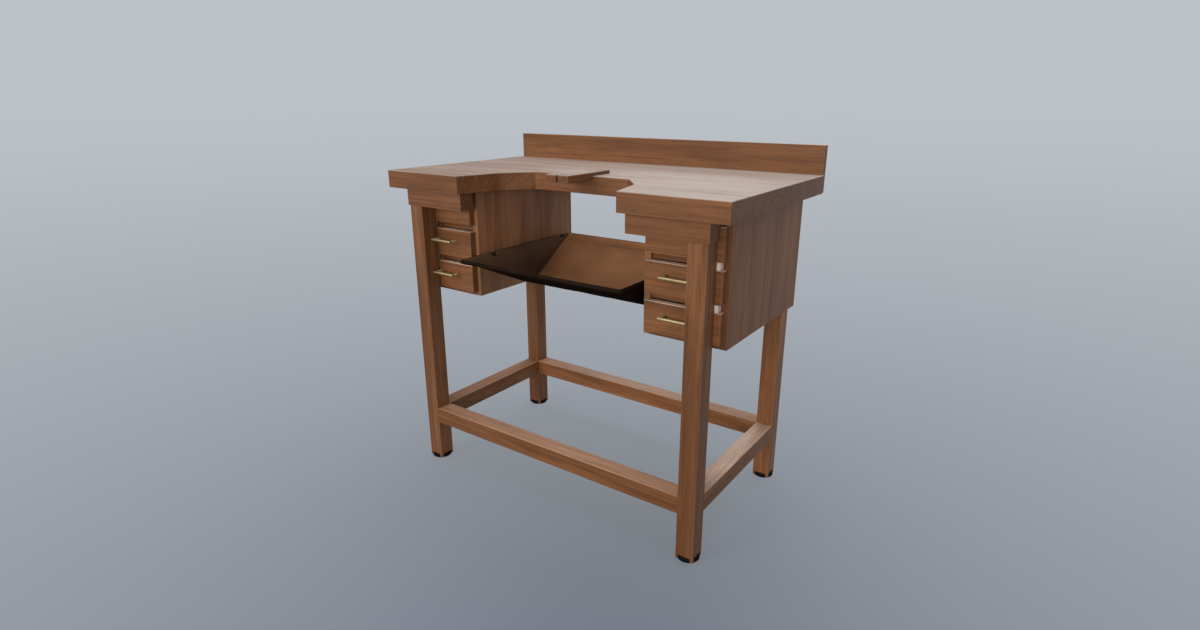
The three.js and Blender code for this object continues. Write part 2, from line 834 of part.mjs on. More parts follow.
// A flat hook: a plate on the cabinet side, below the rim, a foot under the rod and a lip that
// keeps it in
function skinHook(hand, y) {
  const plateOuter = cabinetInner - glueGap;
  const plateInner = plateOuter - hookThickness;
  const footTop = skinRimHeight - rodRadius - jointGap;
  const footBottom = footTop - hookThickness;
  const lipOuter = skinHalfWidth - rodRadius - jointGap;
  const lipInner = lipOuter - hookThickness;
  const outline = [
    [plateOuter, footTop],
    [lipOuter, footTop],
    [lipOuter, footTop + hookLipHeight],
    [lipInner, footTop + hookLipHeight],
    [lipInner, footBottom],
    [plateInner, footBottom],
    [plateInner, footTop - hookPlateHeight],
    [plateOuter, footTop - hookPlateHeight],
  ];
  const sidedOutline = outline.map(([x, z]) => [hand * x, z]);
  return extrudeBack(sidedOutline, [y - hookWidth / 2, y + hookWidth / 2]);
}

addPiece('leather_skin', leatherSkin(), leather);
addPiece('skin_rod_frame', rodFrame(), steel);
for (const [side, hand] of [['left', -1], ['right', 1]]) {
  for (const { name, y } of hookPlaces) {
    addPiece(`${side}_${name}_skin_hook`, skinHook(hand, y), steel);
  }
}

export default bench;
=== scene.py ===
# %% [markdown]
# # A jeweler's bench
#
# The bench is a stout walnut table with a thick worktop. A bay is cut in the front edge for the
# maker's body, and a small board, the bench pin, stands out over it. Between two little drawer
# cabinets hangs a leather skin that catches filings.
#
# Every rigid piece already comes from the CAD frame, at its real size and place, so this lesson is
# about looks: timber, leather, brass, rubber and iron, and the light that shows them.

# %% Load the frame
import math

import bmesh
import bpy
from mathutils import Euler, Matrix, Vector, noise


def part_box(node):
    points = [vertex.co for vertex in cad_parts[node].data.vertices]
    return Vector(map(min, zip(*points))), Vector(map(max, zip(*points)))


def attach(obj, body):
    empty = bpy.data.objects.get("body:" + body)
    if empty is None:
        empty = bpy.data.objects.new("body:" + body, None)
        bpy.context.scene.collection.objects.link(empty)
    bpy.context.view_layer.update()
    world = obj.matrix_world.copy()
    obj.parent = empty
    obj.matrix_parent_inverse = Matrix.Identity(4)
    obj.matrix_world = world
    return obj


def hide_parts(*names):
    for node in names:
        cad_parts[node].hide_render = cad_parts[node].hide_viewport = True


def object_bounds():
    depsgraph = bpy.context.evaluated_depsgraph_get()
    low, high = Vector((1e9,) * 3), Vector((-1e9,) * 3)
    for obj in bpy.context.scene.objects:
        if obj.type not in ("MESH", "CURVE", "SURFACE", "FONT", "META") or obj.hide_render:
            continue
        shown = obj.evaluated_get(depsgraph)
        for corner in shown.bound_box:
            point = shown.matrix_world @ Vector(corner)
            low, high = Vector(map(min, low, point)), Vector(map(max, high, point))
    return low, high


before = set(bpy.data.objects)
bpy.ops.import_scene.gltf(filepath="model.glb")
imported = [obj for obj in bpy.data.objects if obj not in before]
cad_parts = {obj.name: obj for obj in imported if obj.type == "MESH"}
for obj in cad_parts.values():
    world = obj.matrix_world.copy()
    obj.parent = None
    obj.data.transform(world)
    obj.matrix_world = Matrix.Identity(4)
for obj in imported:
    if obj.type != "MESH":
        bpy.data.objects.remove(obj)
cad_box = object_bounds()
print("frame:", len(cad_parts), "pieces, box",
      [tuple(round(value, 3) for value in corner) for corner in cad_box])

# %% [markdown]
# ## The camera
#
# The place, tilt and turn were solved from corners of the bench in the photograph. The lens is a
# wide one, so upright legs lean together a little towards the floor. A camera in Blender looks
# along its own -Z axis, so a tilt of 90 degrees would look level, and this one looks down.

# %% Camera
CAMERA_PLACE = (1.1334, -1.6092, 1.1430)
CAMERA_TILT = math.radians(72.07)
CAMERA_TURN = math.radians(35.19)
LENS_MM = 20.27
SENSOR_MM = 36.0

scene = bpy.context.scene
scene.view_settings.view_transform = "Standard"

lens = bpy.data.cameras.new("bench_camera")
lens.sensor_fit = "HORIZONTAL"
lens.sensor_width = SENSOR_MM
lens.lens = LENS_MM
camera = bpy.data.objects.new("bench_camera", lens)
camera.location = CAMERA_PLACE
camera.rotation_euler = (CAMERA_TILT, 0.0, CAMERA_TURN)
scene.collection.objects.link(camera)
scene.camera = camera
print("camera at", CAMERA_PLACE)

# %% [markdown]
# ## Finishes as sums
#
# A finish in Blender is a net of nodes. Wired by hand, even a small sum such as `1 - mask` takes
# three lines. Here one class stands for a socket and does sums with Python's own signs, and one
# class stands for a finish and adds any other node by its type, settings and sockets.

# %% A socket that does sums
class Value:
    """A socket of a finish. A sum of values adds Math nodes to the finish."""

    def __init__(self, finish, socket):
        self.finish = finish
        self.socket = socket

    def __add__(self, other):
        return self.finish.maths("ADD", self, other)

    def __sub__(self, other):
        return self.finish.maths("SUBTRACT", self, other)

    def __rsub__(self, other):
        return self.finish.maths("SUBTRACT", other, self)

    def __mul__(self, other):
        return self.finish.maths("MULTIPLY", self, other)

    def __truediv__(self, other):
        return self.finish.maths("DIVIDE", self, other)

    __radd__ = __add__
    __rmul__ = __mul__


print("values add, subtract, multiply and divide")

# %% A finish that adds nodes
class Finish:
    """A material of the bench, with the place on the piece as its first value."""

    def __init__(self, name):
        self.material = bpy.data.materials.new(name)
        self.material.use_nodes = True
        self.tree = self.material.node_tree
        self.shader = self.tree.nodes["Principled BSDF"]
        self.place = self.node("ShaderNodeTexCoord", output="Object")

    def node(self, kind, settings=None, inputs=None, output=0):
        made = self.tree.nodes.new(kind)
        for name, value in (settings or {}).items():
            setattr(made, name, value)
        self.feed(made, inputs or {})
        return Value(self, made.outputs[output])

    def feed(self, node, inputs):
        for name, value in inputs.items():
            if isinstance(value, Value):
                self.tree.links.new(value.socket, node.inputs[name])
            else:
                node.inputs[name].default_value = value

    def maths(self, operation, *terms):
        return self.node("ShaderNodeMath", {"operation": operation}, dict(enumerate(terms)))

    def vectors(self, operation, *terms, output=0):
        settings = {"operation": operation}
        return self.node("ShaderNodeVectorMath", settings, dict(enumerate(terms)), output)

    def part(self, vector, axis):
        return self.node("ShaderNodeSeparateXYZ", {}, {0: vector}, axis)

    def speckle(self, place, scale, detail=2.0, roughness=0.5):
        inputs = {"Vector": place, "Scale": scale, "Detail": detail, "Roughness": roughness}
        return self.node("ShaderNodeTexNoise", {}, inputs)

    def drawn_out(self, place, stretch, detail=2.0, roughness=0.5):
        """Speckles of unequal length: stretch is how many go to a metre along X, Y and Z."""
        return self.speckle(self.vectors("MULTIPLY", place, stretch), 1.0, detail, roughness)

    def between(self, value, low, high):
        """0 below low, 1 above high and a soft step between them."""
        inputs = {"Value": value, "From Min": low, "From Max": high}
        return self.node("ShaderNodeMapRange", {"interpolation_type": "SMOOTHSTEP"}, inputs)

    def blend(self, share, first, second):
        first, second = (c if isinstance(c, Value) else (*c, 1.0) for c in (first, second))
        inputs = {0: share, 6: first, 7: second}
        return self.node("ShaderNodeMix", {"data_type": "RGBA"}, inputs, output=2)

    def bump(self, height, strength, distance):
        inputs = {"Height": height, "Strength": strength, "Distance": distance}
        return self.node("ShaderNodeBump", {}, inputs)

    def finished(self, **inputs):
        """Feeds the shader: Base_Color stands for the socket Base Color, and so on."""
        self.feed(self.shader, {name.replace("_", " "): value for name, value in inputs.items()})
        return self.material


def darker(tone, share):
    return tuple(share * part for part in tone)


print("a finish is fed by the name of the shader's socket")

# %% [markdown]
# ## Light and floor
#
# A grey sky all round gives plain soft light. Two broad lamps at the front left model the fronts
# and reach under the worktop, a third one fills from the front right, and one above lights the
# tops. A panel behind the bench is a window: seen flat along the worktop it gives the polish a
# sheen. The floor is a grey sheet, darkest before the bench. With the distance from there it fades
# to the sky, so that no horizon shows.

# %% Sky and lamps
SKY = (0.503, 0.533, 0.571)
WARM = (1.0, 0.94, 0.86)
WHITE = (1.0, 1.0, 1.0)
BENCH_MIDDLE = Vector((0.0, 0.0, 0.55))

world = bpy.data.worlds.new("grey_sky")
world.use_nodes = True
world.node_tree.nodes["Background"].inputs["Color"].default_value = (*SKY, 1.0)
scene.world = world


def lamp(name, place, size, power, tint):
    """A panel that looks at the middle of the bench. The camera doesn't see it."""
    light = bpy.data.lights.new(name, "AREA")
    light.shape = "RECTANGLE"
    light.size, light.size_y = size
    light.energy = power
    light.color = tint
    holder = bpy.data.objects.new(name, light)
    holder.location = place
    holder.visible_camera = False
    holder.rotation_euler = (BENCH_MIDDLE - Vector(place)).to_track_quat("-Z", "Y").to_euler()
    scene.collection.objects.link(holder)


lamp("high_lamp", place=(-3.0, -5.4, 4.5), size=(3.8, 3.8), power=77, tint=WARM)
lamp("low_lamp", place=(-2.4, -6.2, 2.7), size=(3.2, 3.2), power=133, tint=WARM)
lamp("fill_lamp", place=(2.4, -6.6, 1.7), size=(2.6, 1.2), power=164, tint=WARM)
lamp("over_lamp", place=(0.3, 0.6, 4.2), size=(3.0, 3.0), power=92, tint=WHITE)
lamp("window_behind", place=(-1.0, 4.0, 2.0), size=(3.0, 2.2), power=33, tint=WHITE)

# %% Floor
FLOOR_HALF = 40.0
FLOOR_GAP = 0.0005
FLOOR_GREY = (0.071, 0.092, 0.133)
FLOOR_DARKEST = Vector((0.57, -0.80, 0.0))
FADE_HALF_WAY = 3.0
FADE_START, FADE_END = -0.33, 1.0

floor_height = cad_box[0][2] - FLOOR_GAP
sheet = bmesh.new()
bmesh.ops.create_grid(sheet, x_segments=1, y_segments=1, size=FLOOR_HALF)
bmesh.ops.translate(sheet, verts=sheet.verts, vec=(0, 0, floor_height))
floor_mesh = bpy.data.meshes.new("floor")
sheet.to_mesh(floor_mesh)
sheet.free()
floor = bpy.data.objects.new("floor", floor_mesh)
scene.collection.objects.link(floor)

paint = Finish("floor_grey")
paint.finished(Base_Color=(*FLOOR_GREY, 1.0), Roughness=0.9)
away = paint.vectors("DISTANCE", paint.place, FLOOR_DARKEST, output="Value")
fade = paint.between(away / (away + FADE_HALF_WAY), FADE_START, FADE_END)
near = Value(paint, paint.shader.outputs[0])
# The floor glows with the sky's colour, more with the distance from its darkest point: painted
# light, which also lifts the bench's shadow a little near the bench.
glow = paint.node("ShaderNodeEmission", {}, {"Color": (*SKY, 1.0)})
faded = paint.node("ShaderNodeMixShader", {}, {0: fade, 1: near, 2: glow})
paint.feed(paint.tree.nodes["Material Output"], {"Surface": faded})
floor_mesh.materials.append(paint.material)
print("floor", 2 * FLOOR_HALF, "m wide, at", round(floor_height, 4))

# %% [markdown]
# ## Walnut
#
# A tree grows in rings, and a board is a cut through them: long lines on its faces, arcs on its
# ends. A flat picture of grain can't turn a corner, so the wood here is solid. Rings are drawn
# round an axis along the grain, the log's heart, and wander a little. Each board gets its own
# place in the log.

# %% Rings in a log
QUARTER = math.pi / 2
GRAIN_TURNS = {"x": (0, 0, 0), "y": (0, 0, -QUARTER), "z": (0, QUARTER, 0)}
RINGS_PER_METRE = 70.0
RING_WANDER = 6.0
DRIFT = (1.1, 8.0, 8.0)


def in_log(finish, grain, middle, log):
    """The place on a board, turned so that X runs along the grain, and shifted into the log."""
    turn = Euler(GRAIN_TURNS[grain])
    shift = Vector(log) - turn.to_matrix() @ middle
    inputs = {"Vector": finish.place, "Location": shift, "Rotation": turn}
    return finish.node("ShaderNodeMapping", {}, inputs)


def rings_round_heart(finish, place):
    """The count of rings from the heart, the dark end of each ring, and a tone for each year."""
    drift = finish.drawn_out(place, DRIFT, 4.0, 0.55)
    across = finish.vectors("MULTIPLY", place, (0.0, 1.0, 1.0))
    radius = finish.vectors("LENGTH", across, output="Value")
    rings = radius * RINGS_PER_METRE + drift * RING_WANDER
    ring = finish.maths("FRACT", rings)
    late = finish.between(ring, 0.2, 0.9) - finish.between(ring, 0.9, 1.0)
    inputs = {"X": rings * 0.6, "Y": finish.part(place, "X") * 1.3}
    year = finish.node("ShaderNodeCombineXYZ", {}, inputs)
    return rings, late, finish.speckle(year, 1.0, 3.0, 0.6)


print("wood:", RINGS_PER_METRE, "rings to the metre")

# %% [markdown]
# Use leaves its marks, and some of the pale marks here are also painted light. Along the arrises,
# hands and cloths have worn a board a little paler, and the pale arrises are also a painted
# highlight. The upper faces of some boards are painted paler: partly wear, partly painted light,
# which on the worktop and the pin is a painted sheen. A pale top is palest in its middle, or
# towards one end if it leans.

# %% Pale arrises and tops: wear and painted light
# The pale tone of the arrises: wear, and a painted highlight.
ARRIS_WEAR_AND_HIGHLIGHT_TONE = (0.42, 0.26, 0.17)
ARRIS_PALEST, ARRIS_PLAIN = 0.0018, 0.0042
RAGGED = 0.004
TOP_PLAIN, TOP_PALEST = 0.0024, 0.0004
LESS_PALE_FROM, LESS_PALE_FROM_LEANING, LESS_PALE_TO = 0.2, -0.6, 0.9


def arris_wear_and_highlight(finish, low, high):
    """1 along the arrises of a box, 0 on its faces: the second least depth under its faces."""
    middle, half = (low + high) / 2, (high - low) / 2
    inside = finish.vectors("ABSOLUTE", finish.vectors("SUBTRACT", finish.place, middle))
    x, y, z = (reach - finish.part(inside, axis) for reach, axis in zip(half, "XYZ"))
    least, most = finish.maths("MINIMUM", x, y), finish.maths("MAXIMUM", x, y)
    depth = finish.maths("MAXIMUM", least, finish.maths("MINIMUM", most, z))
    ragged = finish.speckle(finish.place, 70.0, 3.0) * RAGGED
    return 1 - finish.between(depth + ragged, ARRIS_PALEST, ARRIS_PLAIN)


def top_of(finish, height):
    """1 at the height of a board's upper face, 0 just below it."""
    z = finish.part(finish.place, "Z")
    return finish.between(z, height - TOP_PLAIN, height - TOP_PALEST)


def less_pale_ends(finish, along, half_length, leaning):
    """1 where a top is left less pale, with less wear and less painted light: at both ends, or at
    its left end alone if leaning.
    """
    off_middle = 0 - along if leaning else finish.maths("ABSOLUTE", along)
    start = LESS_PALE_FROM_LEANING if leaning else LESS_PALE_FROM
    return finish.between(off_middle, start * half_length, LESS_PALE_TO * half_length)


print("arrises are worn", ARRIS_PALEST, "m deep")

# %% [markdown]
# Broad clouds, streaks, fine fibres and short dark pores go over the rings, all of them long along
# the grain and narrow across it. Where a board is cut across, its end grain has drunk more oil and
# is darker.

# %% The wood finish
CLOUD = (2.2, 14.0, 14.0)
STREAK = (4.0, 130.0, 130.0)
FIBRE = (14.0, 460.0, 460.0)
PORE = (30.0, 850.0, 850.0)


def wood(name, grain, box, log, shades, figure=1.0, pale_top_wear_and_light=None):
    """A finish for one board. log is where its middle lies in the log, heart at nought.

    figure is how strongly its streaks show. The last argument gives the share and the tone of the
    pale upper face, partly wear and partly painted light, and whether it leans to one end.
    """
    finish = Finish(name)
    low, high = (Vector(corner) for corner in box)
    place = in_log(finish, grain, (low + high) / 2, log)
    rings, late, band = rings_round_heart(finish, place)
    cloud = finish.drawn_out(place, CLOUD, 3.0, 0.55)
    streak = finish.drawn_out(place, STREAK, 4.0, 0.6)
    fibre = finish.drawn_out(place, FIBRE, 3.0, 0.6)
    pore = finish.between(finish.drawn_out(place, PORE), 0.62, 0.74)

    dark, mid, pale = shades
    colour = finish.blend(finish.between(band, 0.30, 0.70), pale, mid)
    colour = finish.blend(finish.between(cloud, 0.38, 0.72) * 0.50, colour, dark)
    colour = finish.blend(late * 0.22, colour, dark)
    colour = finish.blend(finish.between(streak, 0.45, 0.72) * (0.55 * figure), colour, dark)
    colour = finish.blend(finish.between(fibre, 0.42, 0.75) * (0.30 * figure), colour, dark)
    colour = finish.blend(pore * 0.5, colour, darker(dark, 0.5))

    facing = finish.part(finish.node("ShaderNodeTexCoord", output="Normal"), grain.upper())
    end_grain = finish.between(facing * facing, 0.4, 0.9)
    arcs = finish.between(finish.maths("PINGPONG", rings * 1.3, 0.5), 0.1, 0.4)
    colour = finish.blend(end_grain * (0.20 + arcs * 0.26), colour, darker(dark, 0.7))
    # Pale arrises: worn, and a painted highlight along them.
    colour = finish.blend(arris_wear_and_highlight(finish, low, high) * 0.12, colour, ARRIS_WEAR_AND_HIGHLIGHT_TONE)
    roughness = 0.36 + fibre * 0.16 + pore * 0.2
    # The upper face is painted paler: partly wear, partly painted light, which on the worktop and
    # the pin stands for a sheen.
    if pale_top_wear_and_light:
        share, tone, leaning = pale_top_wear_and_light
        top = top_of(finish, high.z)
        along = finish.part(place, "X") - log[0]
        half_length = ((high - low) / 2)["xyz".index(grain)]
        less_pale = less_pale_ends(finish, along, half_length, leaning)
        patchy = 1.05 - finish.between(cloud, 0.35, 0.75) * 0.3 - less_pale * 0.36
        colour = finish.blend(top * patchy * share, colour, tone)
        lines = finish.between(streak, 0.46, 0.66) * 0.30
        lines = lines + finish.between(fibre, 0.45, 0.70) * 0.22
        colour = finish.blend(top * (lines + pore * 0.3), colour, mid)
        roughness = roughness + top * 0.18
    return finish.finished(
        Base_Color=colour,
        Roughness=roughness,
        Specular_IOR_Level=0.25,
        Normal=finish.bump(fibre * 0.5 - pore - late * 0.2, 0.3, 0.0004),
    )


print("patterns to the metre across the grain:", [p[1] for p in (CLOUD, STREAK, FIBRE, PORE)])

# %% [markdown]
# ## Which way the grain runs
#
# A joiner runs the grain along the length of every board: along X in the worktop, bearers and
# drawer fronts, along Y in the short stretchers, the pin and the drawer sides, and upright in the
# legs and the sides of the cabinets. No two planks have quite the same tone, but some tones are
# painted light: the right cabinet's blocks and fixed front and the rear stretcher are lifted where
# the leg and the cabinets shade them, and the sides that face the knees are painted paler and
# greyer where the worktop shades them. The drawer boxes are maple.

# %% Grain and shades
FRAME_SHADES = ((0.083, 0.030, 0.010), (0.158, 0.061, 0.021), (0.250, 0.104, 0.040))
# Paler, greyer shades for the sides that face the knees: painted light where the worktop shades
# them.
KNEE_SIDE_PAINTED_LIGHT_SHADES = ((0.118, 0.049, 0.0195), (0.224, 0.099, 0.041), (0.355, 0.168, 0.078))
BOX_SHADES = ((0.330, 0.200, 0.105), (0.480, 0.315, 0.180), (0.560, 0.390, 0.240))
BOX_WOOD = ("box", "runner")
# Each board's own tone; the lifts of the right cabinet's blocks and fixed front and of the rear
# stretcher are also painted light against the shade that the leg, the cabinets and the worktop cast
# on them.
BOARD_TONES_AND_PAINTED_LIGHT = {
    "rear_right_leg": 1.28,
    "rear_left_leg": 1.05,
    "front_right_leg": 0.90,
    "rear_stretcher": 1.40,
    "left_cabinet_fixed_front": 1.15,
    "left_middle_drawer_front": 1.15,
    "left_lower_drawer_front": 1.08,
    "right_cabinet_fixed_front": 1.15,
    "right_cabinet_middle_block": 1.15,
    "right_cabinet_lower_block": 1.45,
    "right_middle_drawer_front": 1.07,
    "front_right_bearer": 1.10,
}
LENGTHWAYS = (
    "worktop", "upstand", "bearer", "front_stretcher", "rear_stretcher",
    "front", "block", "frame", "rail",
)
DEPTHWAYS = ("left_stretcher", "right_stretcher", "bench_pin", "runner", "bottom", "box")


def grain_of(node):
    if node.endswith(DEPTHWAYS):
        return "y"
    return "x" if node.endswith(LENGTHWAYS) else "z"


def shades_of(node):
    shades = BOX_SHADES if node.endswith(BOX_WOOD) else FRAME_SHADES
    if node.endswith("inner_side"):
        shades = KNEE_SIDE_PAINTED_LIGHT_SHADES
    tone = BOARD_TONES_AND_PAINTED_LIGHT.get(node, 1.0)
    return [tuple(tone * part for part in shade) for shade in shades]


print("boards with a tone of their own:", len(BOARD_TONES_AND_PAINTED_LIGHT))

# %% [markdown]
# The worktop and the pin are pale on top, most of all at the worktop's right: scrubbed, and a
# painted sheen. The tops of the stretchers are paler, partly rubbed by shoes and partly painted
# light on faces in shade, and the top edges of the drawer fronts are paler, partly fingered and
# partly a painted highlight. The cabinets' sides are quiet boards with few streaks.

# %% Board by board
METAL_OR_SOFT = ("foot", "pull", "hook", "skin", "rod_frame")
QUIET = ("side", "back", "partition")
QUIET_FIGURE, FULL_FIGURE = 0.3, 1.0
LOG_STEP = 1.7
LOG_RADIUS = 0.085
LOG_TURN = 2.4
# The pale top edges of the drawer fronts and blocks: fingered, and a painted highlight.
FINGER_WEAR_AND_HIGHLIGHT = (0.96, (0.63, 0.475, 0.385), False)
# Each pale top, with its share, tone and leaning: wear, and painted light.
PALE_TOPS_WEAR_AND_LIGHT = {
    "worktop": (0.85, (0.40, 0.335, 0.295), True),
    "bench_pin": (0.80, (0.39, 0.320, 0.277), False),
    # The stretchers' pale tops: rubbed by shoes, and painted light where they stand in shade under
    # the bench.
    "front_stretcher": (0.66, (0.70, 0.395, 0.240), False),
    "right_stretcher": (0.92, (0.64, 0.450, 0.340), False),
    "left_stretcher": (0.65, (0.53, 0.270, 0.150), False),
    "rear_stretcher": (0.65, (0.52, 0.340, 0.240), False),
    "front": FINGER_WEAR_AND_HIGHLIGHT,
    "block": FINGER_WEAR_AND_HIGHLIGHT,
}


def pale_top_wear_and_light_of(node):
    return next((wear for ending, wear in PALE_TOPS_WEAR_AND_LIGHT.items() if node.endswith(ending)), None)


def put_on(node, material):
    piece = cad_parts[node]
    if not piece.material_slots:
        piece.data.materials.append(material)
    for held in piece.material_slots:
        held.material = material


boards = sorted(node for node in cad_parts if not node.endswith(METAL_OR_SOFT))
for number, node in enumerate(boards):
    turn = LOG_TURN * number
    log = (LOG_STEP * number, LOG_RADIUS * math.cos(turn), LOG_RADIUS * math.sin(turn))
    figure = QUIET_FIGURE if node.endswith(QUIET) else FULL_FIGURE
    looks = (grain_of(node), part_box(node), log, shades_of(node), figure, pale_top_wear_and_light_of(node))
    put_on(node, wood(node + "_wood", *looks))
print("boards:", len(boards))

# %% [markdown]
# ## Soft arrises
#
# No edge of a real board is razor sharp: the maker breaks each arris with a stroke of fine paper,
# and that thin round catches the light. The CAD pieces are kept as they are, and modifiers do it.
# Their triangles are loose, so a weld joins them first, flat neighbours are dissolved into one
# face, and a bevel rounds what is left.

# %% Round the edges
BOARD_ARRIS, BOX_ARRIS = 0.0012, 0.0004
ARRIS_ANGLE = math.radians(30.0)
FLAT_ANGLE = math.radians(0.2)
WELD_DISTANCE = 1e-5


def soften(node, width):
    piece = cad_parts[node]
    weld = piece.modifiers.new("weld", "WELD")
    weld.merge_threshold = WELD_DISTANCE
    flat = piece.modifiers.new("flat", "DECIMATE")
    flat.decimate_type = "DISSOLVE"
    flat.angle_limit = FLAT_ANGLE
    arris = piece.modifiers.new("arris", "BEVEL")
    arris.width = width
    arris.segments = 2
    arris.limit_method = "ANGLE"
    arris.angle_limit = ARRIS_ANGLE


for node in boards:
    soften(node, BOX_ARRIS if node.endswith(BOX_WOOD) else BOARD_ARRIS)
print("softened:", len(boards), "boards")

# %% [markdown]
# ## Brass, iron, steel and rubber
#
# The pulls are drawn brass rod, brushed and a little dulled by hands. The hooks and the rod in the
# skin's hem are black iron, as it comes from the forge, and the screws are plain steel, gone dull.
# The feet are black rubber. Metal takes its colour from what it reflects, and a fine scratch
# pattern breaks the shine.

# %% Metal and rubber
SCRATCH = (60.0, 900.0, 900.0)
IRON_ARRIS = 0.0003


def metal(name, tone, dull, roughness):
    finish = Finish(name)
    scratch = finish.drawn_out(finish.place, SCRATCH, 3.0)
    cloud = finish.speckle(finish.place, 45.0, 4.0, 0.6)
    return finish.finished(
        Base_Color=finish.blend(finish.between(cloud, 0.35, 0.75), tone, dull),
        Metallic=1.0,
        Roughness=roughness + scratch * 0.18 + cloud * 0.08,
        Normal=finish.bump(scratch, 0.2, 0.0002),
    )


def rubber(name):
    finish = Finish(name)
    grit = finish.speckle(finish.place, 900.0, 3.0)
    scuff = finish.between(finish.speckle(finish.place, 60.0, 4.0, 0.65), 0.5, 0.8)
    return finish.finished(
        Base_Color=finish.blend(scuff * 0.5, (0.005, 0.005, 0.005), (0.020, 0.020, 0.019)),
        Roughness=0.75 + scuff * 0.2,
        Specular_IOR_Level=0.08,
        Normal=finish.bump(grit, 0.25, 0.0003),
    )


brass = metal("drawn_brass", (0.47, 0.37, 0.20), (0.33, 0.25, 0.13), 0.40)
steel = metal("dull_steel", (0.24, 0.235, 0.225), (0.16, 0.156, 0.148), 0.42)
black_iron = metal("black_iron", (0.050, 0.047, 0.043), (0.030, 0.028, 0.026), 0.50)
black_rubber = rubber("black_rubber")
iron_pieces = [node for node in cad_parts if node.endswith(("hook", "rod_frame"))]
for node in iron_pieces:
    put_on(node, black_iron)
    soften(node, IRON_ARRIS)
print("black iron:", len(iron_pieces), "pieces")

# %% [markdown]
# ## Turned pulls and feet
#
# A pull is a brass rod on two posts, and a foot is a rubber disc with a hole for its screw: round
# things, turned on a lathe or cast in a turned mould. The CAD pieces have flat sides, which is
# enough for fit but shows when you come near. So these are turned anew: a half outline is drawn
# beside an axis and spun round it. Each new piece rides on the body that the old one belonged to.

# %% Turn an outline
EASE_STEPS = 5
MERGE_DISTANCE = 1e-6


def new_piece(name, work, body, material):
    mesh = bpy.data.meshes.new(name)
    work.to_mesh(mesh)
    work.free()
    mesh.materials.append(material)
    piece = bpy.data.objects.new(name, mesh)
    scene.collection.objects.link(piece)
    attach(piece, body)
    return piece


def turned(outline, steps):
    """A smooth mesh, spun about Z from a row of (radius, height), both ends on the axis."""
    work = bmesh.new()
    verts = [work.verts.new((radius, 0, height)) for radius, height in outline]
    edges = [work.edges.new(pair) for pair in zip(verts, verts[1:])]
    bmesh.ops.spin(
        work, geom=verts + edges, cent=(0, 0, 0), axis=(0, 0, 1), dvec=(0, 0, 0),
        angle=2 * math.pi, steps=steps, use_merge=True, use_duplicate=False
    )
    bmesh.ops.remove_doubles(work, verts=work.verts, dist=MERGE_DISTANCE)
    bmesh.ops.recalc_face_normals(work, faces=work.faces)
    for face in work.faces:
        face.smooth = True
    mesh = bpy.data.meshes.new("turned")
    work.to_mesh(mesh)
    work.free()
    return mesh


def stamp(work, mesh, lie):
    """Adds a copy of a mesh to the work, laid by a matrix."""
    before = len(work.verts)
    work.from_mesh(mesh)
    work.verts.ensure_lookup_table()
    bmesh.ops.transform(work, verts=work.verts[before:], matrix=lie)


def eased(radius, height, ease, up):
    """A quarter round on the rim of a disc, from its flat side to its wall, or the other way."""
    angles = [QUARTER * step / EASE_STEPS for step in range(EASE_STEPS + 1)]
    quarter = [(radius - ease * (1 - math.sin(a)), ease * (1 - math.cos(a))) for a in angles]
    if up:
        return [(r, height + h) for r, h in quarter]
    return [(r, height - h) for r, h in reversed(quarter)]


print("rims are eased in", EASE_STEPS, "steps")

# %% Pulls
POST_INSET = 0.005
POST_RADIUS = 0.0035
POST_FLARE = 0.0012
POST_STEPS = 28
ROD_EASE = 0.0012
ROD_STEPS = 40


def pull_places(node):
    """The corners of a pull's box, and the X of its two posts."""
    low, high = (Vector(corner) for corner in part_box(node))
    return low, high, (low.x + POST_INSET, high.x - POST_INSET)


def pull_work(node):
    low, high, post_xs = pull_places(node)
    radius, height = (high.z - low.z) / 2, (low.z + high.z) / 2
    length = high.x - low.x
    rod = [
        (0, 0),
        *eased(radius, 0, ROD_EASE, True),
        *eased(radius, length, ROD_EASE, False),
        (0, length),
    ]
    reach = high.y - (low.y + radius)
    collar = POST_RADIUS + POST_FLARE
    post = [
        (0, 0),
        (POST_RADIUS, 0),
        (POST_RADIUS, reach - 2 * POST_FLARE),
        (collar, reach - POST_FLARE),
        (collar, reach),
        (0, reach),
    ]
    work = bmesh.new()
    axis = Vector((low.x, low.y + radius, height))
    to_x, to_y = Matrix.Rotation(QUARTER, 4, "Y"), Matrix.Rotation(-QUARTER, 4, "X")
    stamp(work, turned(rod, ROD_STEPS), Matrix.Translation(axis) @ to_x)
    for x in post_xs:
        start = Vector((x, axis.y, height))
        stamp(work, turned(post, POST_STEPS), Matrix.Translation(start) @ to_y)
    return work


pulls = sorted(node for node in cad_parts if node.endswith("pull"))
for node in pulls:
    drawer = node.removesuffix("_pull")
    pull = new_piece(drawer + "_turned_pull", pull_work(node), drawer, brass)
    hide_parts(node)
print("pulls:", len(pulls))

# %% Feet
FOOT_EASE = 0.002
FOOT_STEPS = 64
HOLE_RADIUS = 0.007
HOLE_DEPTH = 0.005
HOLE_CHAMFER = 0.0006


def foot_work(node):
    low, high = (Vector(corner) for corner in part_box(node))
    radius, height = (high.x - low.x) / 2, high.z - low.z
    outline = [
        (0, HOLE_DEPTH),
        (HOLE_RADIUS, HOLE_DEPTH),
        (HOLE_RADIUS, HOLE_CHAMFER),
        (HOLE_RADIUS + HOLE_CHAMFER, 0),
        *eased(radius, 0, FOOT_EASE, True),
        *eased(radius, height, FOOT_EASE / 2, False),
        (0, height),
    ]
    work = bmesh.new()
    middle = Vector(((low.x + high.x) / 2, (low.y + high.y) / 2, low.z))
    stamp(work, turned(outline, FOOT_STEPS), Matrix.Translation(middle))
    return work


